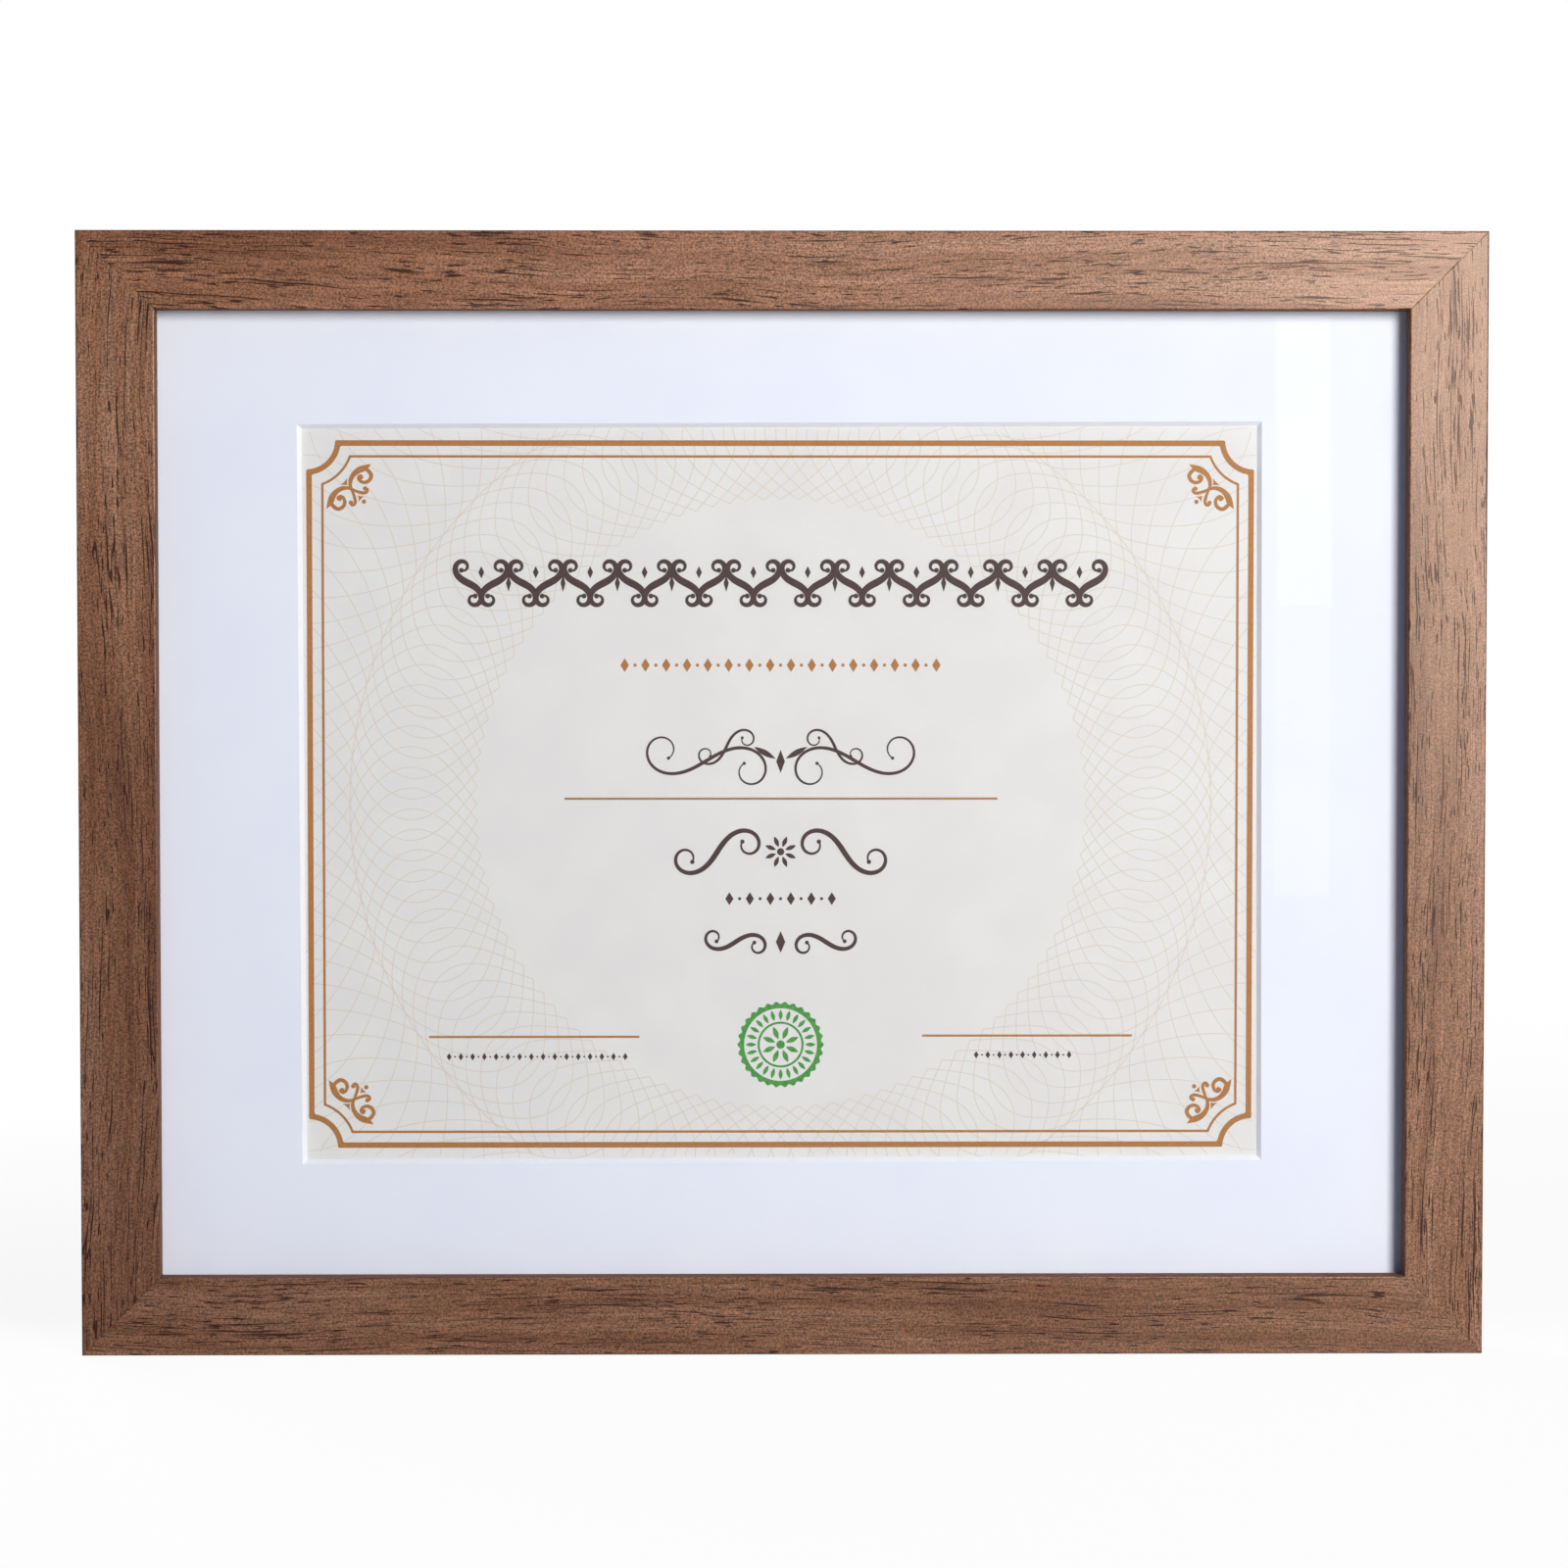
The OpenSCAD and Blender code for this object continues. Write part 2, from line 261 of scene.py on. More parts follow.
FACE_WIDTH = 21.5 * MM
WRAP_LAP = 2.6 * MM
LAP_WAVE = 0.5 * MM
LAP_EDGE = 0.12 * MM
MITRE_LINE = 0.22 * MM

# Shade factors over a pair of rails, partly the wrap's own drift in tone and partly painted light
# and shade set to how the light falls on the frame: low left, low right, high left and high right
LONG_TONES_AND_SHADE = (0.81, 0.85, 1.13, 1.02)
SHORT_TONES_AND_SHADE = (0.73, 0.96, 1.04, 0.82)
TONES_REACH_X = 0.16
TONES_REACH_Z = 0.13


def tone_and_painted_shade(g, x, z, tones_and_shade):
    """The wrap's drift in tone together with painted light and shade, eased between the factors at
    the four corners.
    """
    low_left, low_right, high_left, high_right = tones_and_shade
    from_left = g.math("SUBTRACT", x, MIDDLE.x)
    low = g.ramp(from_left, -TONES_REACH_X, TONES_REACH_X, low_left, low_right)
    high = g.ramp(from_left, -TONES_REACH_X, TONES_REACH_X, high_left, high_right)
    share = g.ramp(g.math("SUBTRACT", z, MIDDLE.z), -TONES_REACH_Z, TONES_REACH_Z)
    return g.math("ADD", low, g.math("MULTIPLY", share, g.math("SUBTRACT", high, low)))


def grain_lines(g, along, unrolled):
    """Places for the patterns: straight along the rail, and with the grain's drift and ripple."""
    straight = g.vector(along, unrolled)
    drift = g.math("SUBTRACT", g.streaked(straight, WOOD_DRIFT), 0.5)
    ripple = g.math("SUBTRACT", g.streaked(straight, WOOD_RIPPLE), 0.5)
    moved = g.math("MULTIPLY", drift, DRIFT_REACH)
    moved = g.math("ADD", moved, g.math("MULTIPLY", ripple, RIPPLE_REACH))
    return straight, g.vector(along, g.math("ADD", unrolled, moved))


def wood_tone(g, straight, grain):
    """Three browns in bands and patches."""
    bands = g.streaked(grain, WOOD_BANDS, detail=3.0, roughness=0.6)
    patches = g.streaked(straight, WOOD_PATCHES)
    tone = g.math("ADD", g.math("MULTIPLY", bands, 0.6), g.math("MULTIPLY", patches, 0.4))
    colour = g.mix(g.ramp(tone, 0.34, 0.52), WOOD_DARK, WOOD_MID)
    return g.mix(g.ramp(tone, 0.46, 0.66), colour, WOOD_LIGHT)


def wood_grit(g, grain, fibres, speckle):
    """Light and dark of the fine grain, as a factor of the colour."""
    streaks = g.streaked(grain, WOOD_STREAKS, detail=3.0, roughness=0.65)
    speckles = g.ramp(speckle, 0.34, 0.66, -SPECKLE_CONTRAST, SPECKLE_CONTRAST)
    grit = g.math("ADD", g.ramp(fibres, 0.36, 0.64, 0.8, 1.18), speckles)
    return g.math("MULTIPLY", grit, g.ramp(streaks, 0.32, 0.68, 0.83, 1.15))


def wood_pores(g, straight, grain):
    """Long and short pores, crowded in places, and dots where the figure arches."""
    crowd = g.streaked(grain, WOOD_CROWDS, detail=3.0, roughness=0.65)
    crowd = g.spread(crowd, -PORE_CROWDING, PORE_CROWDING)
    arched = g.ramp(g.streaked(straight, WOOD_ARCHES, detail=1.0), 0.5, 0.68, -0.16, 0.02)
    long_pores = g.streaked(grain, WOOD_LONG_PORES, roughness=0.55)
    short_pores = g.streaked(grain, WOOD_SHORT_PORES, detail=1.0)
    dots = g.streaked(grain, WOOD_DOTS, detail=1.0)
    pores = g.ramp(g.math("ADD", long_pores, crowd), 0.6, 0.665)
    pores = g.math("MAXIMUM", pores, g.ramp(g.math("ADD", short_pores, crowd), 0.625, 0.69))
    return g.math("MAXIMUM", pores, g.ramp(g.math("ADD", dots, arched), 0.62, 0.71, 0.0, 0.8))


def mitre_share(g, where, from_middle_x, from_middle_z):
    """High on the joint between two rails, uneven along it."""
    off_mitre = g.math("SUBTRACT", from_middle_x, from_middle_z)
    off_mitre = g.math("ABSOLUTE", g.math("SUBTRACT", off_mitre, HALF_WIDTH - HALF_HEIGHT))
    line = g.ramp(off_mitre, 0.0, MITRE_LINE, 1.0, 0.0)
    return g.math("MULTIPLY", line, g.ramp(g.noise(where, scale=130.0), 0.4, 0.65, 0.3, 0.9))


def mdf_colour(g, where):
    """Flecks and short threads of the bare core."""
    flecks = g.noise(where, scale=1300.0, detail=3.0, roughness=0.75)
    threads = g.noise(g.stretched(where, (300.0, 2200.0, 2200.0)), roughness=0.6)
    tone = g.math("MULTIPLY", g.math("ADD", flecks, threads), 0.5)
    return g.mix(g.ramp(tone, 0.36, 0.62), MDF_DARK, MDF_PALE)


def wood_material(name, across_is_z, tones_and_shade):
    """Wrap with its grain along the rail, a darker lip, and bare MDF on the back."""
    material, g = new_material(name)
    where = g.place()
    x, y, z = g.split(where)
    along, across = (x, z) if across_is_z else (z, x)
    straight, grain = grain_lines(g, along, g.math("ADD", across, y))
    fibres = g.streaked(grain, WOOD_FIBRES, roughness=0.6)
    speckle = g.noise(where, scale=WOOD_SPECKLE, roughness=0.7)
    pores = wood_pores(g, straight, grain)

    grit = wood_grit(g, grain, fibres, speckle)
    colour = wood_tone(g, straight, grain)
    # The colour is scaled by the grit and by the corner factors, which hold painted light and shade
    # as well as the wrap's tone
    colour = g.shade(colour, g.math("MULTIPLY", grit, tone_and_painted_shade(g, x, z, tones_and_shade)))
    colour = g.mix(g.math("MULTIPLY", pores, PORE_STRENGTH), colour, WOOD_PORE)

    from_middle_x = g.math("ABSOLUTE", g.math("SUBTRACT", x, MIDDLE.x))
    from_middle_z = g.math("ABSOLUTE", g.math("SUBTRACT", z, MIDDLE.z))
    mitre = mitre_share(g, where, from_middle_x, from_middle_z)
    colour = g.mix(mitre, colour, WOOD_PORE)

    if across_is_z:
        from_edge = g.math("SUBTRACT", HALF_HEIGHT, from_middle_z)
    else:
        from_edge = g.math("SUBTRACT", HALF_WIDTH, from_middle_x)
    lip = g.ramp(from_edge, FACE_WIDTH - 0.05 * MM, FACE_WIDTH - 0.02 * MM)
    colour = g.mix(lip, colour, WOOD_LIP)
    lap_edge = g.math("ADD", from_edge, g.spread(g.noise(where, scale=90.0), -LAP_WAVE, LAP_WAVE))
    on_back = g.ramp(y, RAIL_BACK - 0.3 * MM, RAIL_BACK - 0.1 * MM)
    bare = g.math("MULTIPLY", on_back, g.ramp(lap_edge, WRAP_LAP, WRAP_LAP + LAP_EDGE))
    colour = g.mix(bare, colour, mdf_colour(g, where))

    off_face = g.ramp(g.normal_y(), -0.9, -0.5, 0.0, 0.75)
    dull = g.math("MAXIMUM", g.math("MAXIMUM", bare, lip), off_face)
    roughness = g.math("ADD", g.spread(speckle, 0.32, 0.38), g.math("MULTIPLY", dull, 0.4))
    matt = g.math("MAXIMUM", dull, g.math("MULTIPLY", pores, 0.5))
    relief = g.math("SUBTRACT", g.math("MULTIPLY", speckle, 0.35), pores)
    relief = g.math("ADD", relief, g.math("MULTIPLY", fibres, 0.4))
    relief = g.math("SUBTRACT", relief, g.math("MULTIPLY", mitre, MITRE_DEPTH))
    g.principled(
        Base_Color=colour,
        Roughness=roughness,
        Specular_IOR_Level=g.ramp(matt, 0.0, 1.0, 0.75, 0.12),
        Specular_Tint=SHEEN_TINT,
        Normal=g.bump(relief, WRAP_RELIEF, 0.6),
    )
    return material


# Glazing, mat, paper and boards

GLASS_IOR = 1.5
GLASS_CLEAR = (0.996, 0.998, 0.997, 1.0)
GLASS_ROUGHNESS = 0.015
MAT_PALE = srgb(242, 245, 254)
MAT_DIM = srgb(239, 242, 253)
CORE_PALE = srgb(247, 249, 253)
CORE_DIM = srgb(243, 245, 251)
PAPER_PALE = srgb(236, 235, 231)
PAPER_DIM = srgb(233, 231, 228)

# Boards: pale and dark colour, features a metre along and across the fibres, and roughness
FILLER_LOOK = (srgb(196, 160, 118), srgb(158, 122, 84), (60.0, 900.0), 0.85)
BACKING_LOOK = (srgb(168, 126, 90), srgb(120, 84, 57), (260.0, 2400.0), 0.66)


def glass_material():
    """Clear sheet: see-through, with the mirror share of its front surface."""
    material, g = new_material("glazing")
    clear = g.add("ShaderNodeBsdfTransparent")
    clear.inputs["Color"].default_value = GLASS_CLEAR
    gloss = g.add("ShaderNodeBsdfAnisotropic")
    gloss.inputs["Color"].default_value = WHITE
    gloss.inputs["Roughness"].default_value = GLASS_ROUGHNESS
    fresnel = g.add("ShaderNodeFresnel")
    fresnel.inputs["IOR"].default_value = GLASS_IOR
    back = g.add("ShaderNodeNewGeometry").outputs["Backfacing"]
    share = g.math("MULTIPLY", fresnel.outputs[0], g.math("SUBTRACT", 1.0, back))
    g.surface(g.mixed(share, clear.outputs[0], gloss.outputs[0]))
    return material


def mat_material():
    """Smooth white board with a faint tooth, and a whiter core where the bevel cuts it."""
    material, g = new_material("mat_board")
    where = g.place()
    tooth = g.noise(where, scale=900.0, detail=3.0, roughness=0.6)
    cloud = g.noise(where, scale=28.0, detail=3.0)
    face = g.shade(g.mix(g.spread(cloud), MAT_DIM, MAT_PALE), g.spread(tooth, 0.985, 1.0))
    core = g.mix(g.ramp(tooth, 0.35, 0.65), CORE_DIM, CORE_PALE)
    facing = g.math("ABSOLUTE", g.normal_y())
    g.principled(
        Base_Color=g.mix(g.ramp(facing, 0.8, 0.95), core, face),
        Roughness=g.spread(tooth, 0.82, 0.94),
        Specular_IOR_Level=0.3,
        Normal=g.bump(tooth, 0.02 * MM, 0.5),
    )
    return material


def paper_material():
    """Off-white sheet, a little warmer where the fibres lie thick."""
    material, g = new_material("document")
    where = g.place()
    fibres = g.noise(where, scale=1100.0, detail=4.0, roughness=0.65)
    cloud = g.noise(where, scale=60.0, detail=3.0)
    colour = g.mix(g.spread(cloud), PAPER_DIM, PAPER_PALE)
    g.principled(
        Base_Color=g.shade(colour, g.spread(fibres, 0.975, 1.0)),
        Roughness=g.spread(fibres, 0.7, 0.85),
        Specular_IOR_Level=0.35,
        Normal=g.bump(fibres, 0.02 * MM, 0.4),
    )
    return material


def ink_material(name, pale, dark, roughness=0.55):
    """Printed ink: even, with the paper's tooth just showing through."""
    material, g = new_material(name)
    tooth = g.noise(g.place(), scale=1400.0, detail=3.0, roughness=0.6)
    g.principled(
        Base_Color=g.mix(g.spread(tooth), dark, pale),
        Roughness=g.spread(tooth, roughness - 0.06, roughness + 0.06),
        Specular_IOR_Level=0.3,
    )
    return material


def board_material(name, pale, dark, fibre_scales, roughness):
    """Pressed fibre board, its long fibres lying in all directions over finer flecks."""
    material, g = new_material(name)
    where = g.place()
    x, _, z = g.split(where)
    turned = g.vector(g.math("ADD", x, z), g.math("SUBTRACT", x, z))
    first = g.streaked(g.vector(x, z), fibre_scales, detail=3.0, roughness=0.6)
    second = g.streaked(turned, fibre_scales[::-1], detail=3.0, roughness=0.6)
    flecks = g.noise(where, scale=900.0, detail=4.0, roughness=0.75)
    cloud = g.noise(where, scale=14.0, detail=3.0)
    tone = g.math("ADD", g.math("MULTIPLY", first, 0.4), g.math("MULTIPLY", second, 0.3))
    tone = g.math("ADD", tone, g.math("MULTIPLY", flecks, 0.3))
    colour = g.mix(g.ramp(tone, 0.34, 0.64), dark, pale)
    g.principled(
        Base_Color=g.shade(colour, g.spread(cloud, 0.93, 1.06)),
        Roughness=g.spread(flecks, roughness - 0.08, roughness + 0.08),
        Specular_IOR_Level=0.35,
        Normal=g.bump(tone, 0.05 * MM, 0.6),
    )
    return material


# Metal and rubber

# Platings: two tints and the roughness
ZINC_LOOK = ((srgb(206, 209, 212), srgb(184, 189, 196)), 0.3)
BRIGHT_LOOK = ((srgb(214, 216, 218), srgb(196, 200, 205)), 0.26)
YELLOW_LOOK = ((srgb(222, 196, 130), srgb(206, 178, 128)), 0.3)
STEEL_LOOK = ((srgb(168, 170, 172), srgb(140, 142, 146)), 0.38)
ROLLING_LINES = (1600.0, 90.0, 1600.0)
RUBBER_CLEAN = srgb(36, 36, 38)
RUBBER_DUSTY = srgb(58, 57, 57)


def plated_material(name, tints, roughness):
    """Plated sheet steel: two tints in soft clouds, fine rolling scratches and dulled smudges."""
    material, g = new_material(name)
    where = g.place()
    cloud = g.noise(where, scale=120.0, detail=3.0, roughness=0.6)
    lines = g.noise(g.stretched(where, ROLLING_LINES), roughness=0.7)
    smudge = g.noise(where, scale=340.0, detail=3.0)
    colour = g.mix(g.ramp(cloud, 0.35, 0.65), *tints)
    worn = g.math("ADD", g.spread(smudge, -0.06, 0.08), g.spread(lines, 0.0, 0.06))
    g.principled(
        Base_Color=g.shade(colour, g.spread(lines, 0.93, 1.03)),
        Metallic=1.0,
        Roughness=g.math("ADD", worn, roughness, clamp=True),
        Normal=g.bump(lines, 0.01 * MM, 0.4),
    )
    return material


def rubber_material():
    """Moulded rubber: near black, fine spark-textured, dusty in patches."""
    material, g = new_material("bumper_rubber")
    where = g.place()
    texture = g.noise(where, scale=2400.0, roughness=0.6)
    dust = g.noise(where, scale=160.0, detail=3.0)
    g.principled(
        Base_Color=g.mix(g.ramp(dust, 0.45, 0.7), RUBBER_CLEAN, RUBBER_DUSTY),
        Roughness=g.spread(texture, 0.62, 0.8),
        Specular_IOR_Level=0.4,
        Normal=g.bump(texture, 0.04 * MM, 0.5),
    )
    return material


# Carried-over nodes

WELD_REACH = 0.5e-6
EASE_WIDTH = 0.12 * MM
EASE_ANGLE = math.radians(50)
EASE_SEGMENTS = 2
GLAZING_EASE = 0.03 * MM


def weld(piece):
    """Joins the vertices that the CAD mesh repeats from face to face."""
    joined = piece.modifiers.new("weld", "WELD")
    joined.merge_threshold = WELD_REACH


def dress(nodes, material, eased=False):
    """Gives CAD nodes their material and, where asked, softly rounded stamped edges."""
    for name in nodes:
        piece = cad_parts[name]
        piece.data.materials.clear()
        piece.data.materials.append(material)
        if eased:
            weld(piece)
            ease = piece.modifiers.new("ease", "BEVEL")
            ease.width = EASE_WIDTH
            ease.segments = EASE_SEGMENTS
            ease.limit_method = "ANGLE"
            ease.angle_limit = EASE_ANGLE
            ease.use_clamp_overlap = True


def ease_glazing():
    """Draws the glass in by a hair, so that its back and the mat's face don't share a plane."""
    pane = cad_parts["glazing"]
    weld(pane)
    draw_in = pane.modifiers.new("draw_in", "DISPLACE")
    draw_in.mid_level = 0.0
    draw_in.strength = -GLAZING_EASE


def nodes_called(start):
    return sorted(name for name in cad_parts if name.startswith(start))


def dress_nodes():
    dress(("rail_top", "rail_bottom"), wood_material("moulding_long", True, LONG_TONES_AND_SHADE))
    dress(("rail_left", "rail_right"), wood_material("moulding_short", False, SHORT_TONES_AND_SHADE))
    dress(("glazing",), glass_material())
    ease_glazing()
    dress(("mat_board",), mat_material())
    dress(("document_sheet",), paper_material())
    dress(("filler_board",), board_material("filler", *FILLER_LOOK))
    dress(("backing_board",), board_material("backing", *BACKING_LOOK))
    screws = "button_screws"
    buttons = [name for name in nodes_called("button_") if name != screws]
    dress(buttons, plated_material("button_steel", *ZINC_LOOK), eased=True)
    dress((screws,), plated_material("screw_steel", *BRIGHT_LOOK))
    yellow = plated_material("hanger_steel", *YELLOW_LOOK)
    dress(("hanger_landscape", "hanger_portrait"), yellow, eased=True)
    dress(("hanger_nails",), yellow)
    dress(nodes_called("corner_nails"), plated_material("nail_steel", *STEEL_LOOK))
    dress(("wall_bumpers",), rubber_material())


# Print on the sheet: thin films of ink. Places and sizes are in mm, from the frame's middle,
# x to the right and z up.

INK_SUNK = 0.01
LAYER_STEP = 0.0006
LIFT_GUILLOCHE = 0.006
LIFT_RULES = 0.03
LIFT_ORNAMENT = 0.04
CORNER_SIGNS = ((1, 1), (-1, 1), (-1, -1), (1, -1))
DISC_SIDES = 24

# A rosette's hollow and dot are shares of its radius, and its petals fill this much of their room
ROSETTE_HOLLOW = 0.3
ROSETTE_DOT = 0.22
PETAL_FILL = 0.66
PETAL_STEPS = 8

# A chain's pitch, the width of its lozenges and its dots, as shares of a lozenge's half height
CHAIN_PITCH = 3.1
CHAIN_WIDTH = 0.62
CHAIN_DOT = 0.24

# An S-scroll turns by this much from its middle to each end, and its ends then lie on this diagonal
SCROLL_TURN = 6.3
SCROLL_LEAN = TAU / 8
SCROLL_STEPS = 44
SCROLL_SWELL = 1.4
SCROLL_BLOB = 1.35


def in_print(x, z, lift):
    """A point in the scene, from its place in the print and how far it stands before the sheet."""
    return Vector((MIDDLE.x + x * MM, SHEET_FRONT - lift * MM, MIDDLE.z + z * MM))


def catmull_rom(p, q, r, s, t):
    """The value at share t from q to r, of a curve that goes on to p and s."""
    second = (2 * p - 5 * q + 4 * r - s) * t * t
    third = (3 * q - p - 3 * r + s) * t**3
    return 0.5 * (2 * q + (r - p) * t + second + third)


def smooth_path(points, steps):
    """A curve through rows of numbers, such as places with a width."""
    ends = [points[0], *points, points[-1]]
    path = []
    for rows in zip(ends, ends[1:], ends[2:], ends[3:]):
        for k in range(steps):
            path.append([catmull_rom(*values, k / steps) for values in zip(*rows)])
    path.append(list(points[-1]))
    return path


def unit_circle(sides):
    return [(math.cos(TAU * k / sides), math.sin(TAU * k / sides)) for k in range(sides)]


class Print:
    """One printed piece, built up of closed films that never share a plane."""

    def __init__(self, name, material, base_lift):
        self.name = name
        self.material = material
        self.mesh = bmesh.new()
        self.lift = base_lift

    def rise(self):
        self.lift += LAYER_STEP

    def film(self, x, z):
        """Front and sunken vertex of one place of the print."""
        front = self.mesh.verts.new(in_print(x, z, self.lift))
        return front, self.mesh.verts.new(in_print(x, z, -INK_SUNK))

    def strip(self, lefts, rights):
        """A film between two rows of points."""
        rows = []
        for left, right in zip(lefts, rights):
            left_front, left_back = self.film(*left)
            right_front, right_back = self.film(*right)
            rows.append((left_front, right_front, right_back, left_back))
        for first, second in zip(rows, rows[1:]):
            for k in range(4):
                after = (k + 1) % 4
                self.mesh.faces.new((first[k], first[after], second[after], second[k]))
        self.mesh.faces.new(rows[0][::-1])
        self.mesh.faces.new(rows[-1])

    def stroke(self, path):
        """A pen stroke along rows of (x, z, width)."""
        lefts, rights = [], []
        for k, (x, z, width) in enumerate(path):
            before, after = path[max(k - 1, 0)], path[min(k + 1, len(path) - 1)]
            dx, dz = after[0] - before[0], after[1] - before[1]
            length = math.hypot(dx, dz)
            nx, nz = -dz / length * width / 2, dx / length * width / 2
            lefts.append((x + nx, z + nz))
            rights.append((x - nx, z - nz))
        self.strip(lefts, rights)

    def patch(self, outline):
        """A film inside one outline."""
        self.rise()
        fronts, backs = zip(*[self.film(x, z) for x, z in outline])
        self.mesh.faces.new(fronts)
        self.mesh.faces.new(backs[::-1])
        for k in range(len(outline)):
            after = (k + 1) % len(outline)
            self.mesh.faces.new((fronts[k], fronts[after], backs[after], backs[k]))

    def disc(self, x, z, radius):
        self.patch([(x + radius * c, z + radius * s) for c, s in unit_circle(DISC_SIDES)])

    def lozenge(self, x, z, half_width, half_height):
        sides = ((half_width, 0.0), (0.0, half_height), (-half_width, 0.0), (0.0, -half_height))
        self.patch([(x + right, z + up) for right, up in sides])

    def rule(self, x0, x1, z, width):
        low, high = z - width / 2, z + width / 2
        self.patch([(x0, low), (x1, low), (x1, high), (x0, high)])

    def petal(self, x, z, angle, near, far, half_width):
        """A leaf from near to far of a centre, pointed at both ends."""
        side = []
        for k in range(PETAL_STEPS + 1):
            share = k / PETAL_STEPS
            side.append((math.sin(TAU / 2 * share) * half_width, near + (far - near) * share))
        outline = side + [(-w, r) for w, r in side[-2:0:-1]]
        c, s = math.cos(angle), math.sin(angle)
        self.patch([(x + r * c - w * s, z + r * s + w * c) for w, r in outline])

    def rosette(self, x, z, radius, petals):
        """Petals round a dot."""
        half_width = radius * math.tan(TAU / 4 / petals) * PETAL_FILL
        for k in range(petals):
            angle = TAU * (k + 0.5) / petals
            self.petal(x, z, angle, radius * ROSETTE_HOLLOW, radius, half_width)
        self.disc(x, z, radius * ROSETTE_DOT)

    def scroll(self, x, z, length, tilt, side, heavy, fine):
        """An S-scroll, heavy in the middle and curled in at its ends; side -1 mirrors it."""
        half = [(0.0, 0.0)]
        for k in range(SCROLL_STEPS):
            bend = SCROLL_TURN * ((k + 0.5) / SCROLL_STEPS) ** 2
            dx = math.cos(bend) * length / SCROLL_STEPS
            dz = math.sin(bend) * length / SCROLL_STEPS
            half.append((half[-1][0] + dx, half[-1][1] + dz))
        whole = [(-px, -pz) for px, pz in half[:0:-1]] + half
        c, s = math.cos(tilt - SCROLL_LEAN), math.sin(tilt - SCROLL_LEAN)
        path = []
        for k, (px, pz) in enumerate(whole):
            out = abs(k / SCROLL_STEPS - 1.0)
            width = fine + (heavy - fine) * (1 - out**SCROLL_SWELL)
            path.append((x + side * (px * c - pz * s), z + px * s + pz * c, width))
        self.rise()
        self.stroke(path)
        for end_x, end_z, _ in (path[0], path[-1]):
            self.disc(end_x, end_z, fine * SCROLL_BLOB)

    def chain(self, x0, x1, z, size):
        """A row of lozenges with dots between them."""
        count = round((x1 - x0) / (CHAIN_PITCH * size))
        pitch = (x1 - x0) / count
        for k in range(count):
            self.lozenge(x0 + pitch * (k + 0.5), z, size * CHAIN_WIDTH, size)
            if k:
                self.disc(x0 + pitch * k, z, size * CHAIN_DOT)

    def done(self):
        """Makes the piece, which rides on the frame, in its ink."""
        bmesh.ops.recalc_face_normals(self.mesh, faces=self.mesh.faces)
        data = bpy.data.meshes.new(self.name)
        self.mesh.to_mesh(data)
        self.mesh.free()
        piece = bpy.data.objects.new(self.name, data)
        bpy.context.scene.collection.objects.link(piece)
        data.materials.append(self.material)
        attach(piece, "frame")


# Guilloche: the radii of its two bands, and how far its strands sweep round, in radians.
# SWEEP_PEAK brings the sweep's curve to 1 where it is highest.
GUILLOCHE_MIDDLE = (-0.5, -2.7)
GUILLOCHE_INNER = 84.0
GUILLOCHE_SEAM = 119.0
GUILLOCHE_OUTER = 181.0
GUILLOCHE_STRANDS = 112
GUILLOCHE_SWEEP = 0.155
GUILLOCHE_PINCH = 1.3
GUILLOCHE_LINE = 0.23
GUILLOCHE_STEPS = 60
SWEEP_PEAK = 2.6
SEAM_SIDES = 224
EDGE_X = (-132.2, 131.2)
EDGE_Z = (-101.2, 101.4)


def inside_edge(x, z):
    return EDGE_X[0] < x < EDGE_X[1] and EDGE_Z[0] < z < EDGE_Z[1]


def strand_place(share):
    """A strand's radius and sweep, where share is 0 at its inner end and 1 at its outer one."""
    s = 1.0 - 2.0 * share
    end = GUILLOCHE_INNER if s > 0 else GUILLOCHE_OUTER
    radius = GUILLOCHE_SEAM + (end - GUILLOCHE_SEAM) * abs(s) ** GUILLOCHE_PINCH
    return radius, SWEEP_PEAK * s * (1.0 - s * s)


def guilloche_line(piece, turns):
    """Strokes the runs that lie on the sheet, of a line given by rows of (angle, radius)."""
    runs = [[]]
    for angle, radius in turns:
        x = GUILLOCHE_MIDDLE[0] + radius * math.cos(angle)
        z = GUILLOCHE_MIDDLE[1] + radius * math.sin(angle)
        if inside_edge(x, z):
            runs[-1].append((x, z, GUILLOCHE_LINE))
        else:
            runs.append([])
    for run in runs:
        if len(run) > 1:
            piece.stroke(run)


def guilloche(ink):
    """Two fans of strands that cross in two bands, from a circle to past the sheet's corners."""
    piece = Print("print_guilloche", ink, LIFT_GUILLOCHE)
    strand = [strand_place(step / GUILLOCHE_STEPS) for step in range(GUILLOCHE_STEPS + 1)]
    for turn in (GUILLOCHE_SWEEP, -GUILLOCHE_SWEEP):
        piece.rise()
        for k in range(GUILLOCHE_STRANDS):
            start = TAU * k / GUILLOCHE_STRANDS
            guilloche_line(piece, [(start + turn * sweep, radius) for radius, sweep in strand])
    piece.rise()
    guilloche_line(piece, [(TAU * k / SEAM_SIDES, GUILLOCHE_SEAM) for k in range(SEAM_SIDES + 1)])
    piece.done()


# Border: a thick and a thin rule, each corner cut in by an arc
RULE_MIDDLE = (-0.6, -0.3)
THICK_HALF = (130.6, 97.8)
THICK_WIDTH = 1.55
THICK_NOTCH = 8.0
THIN_INSET = 4.1
THIN_WIDTH = 0.68
THIN_NOTCH = 12.5
NOTCH_STEPS = 12
RULE_ROUNDING = 0.5
ROUNDING_STEPS = 4
ROUNDING_LIMIT = 0.6
NEARLY_STRAIGHT = -0.7


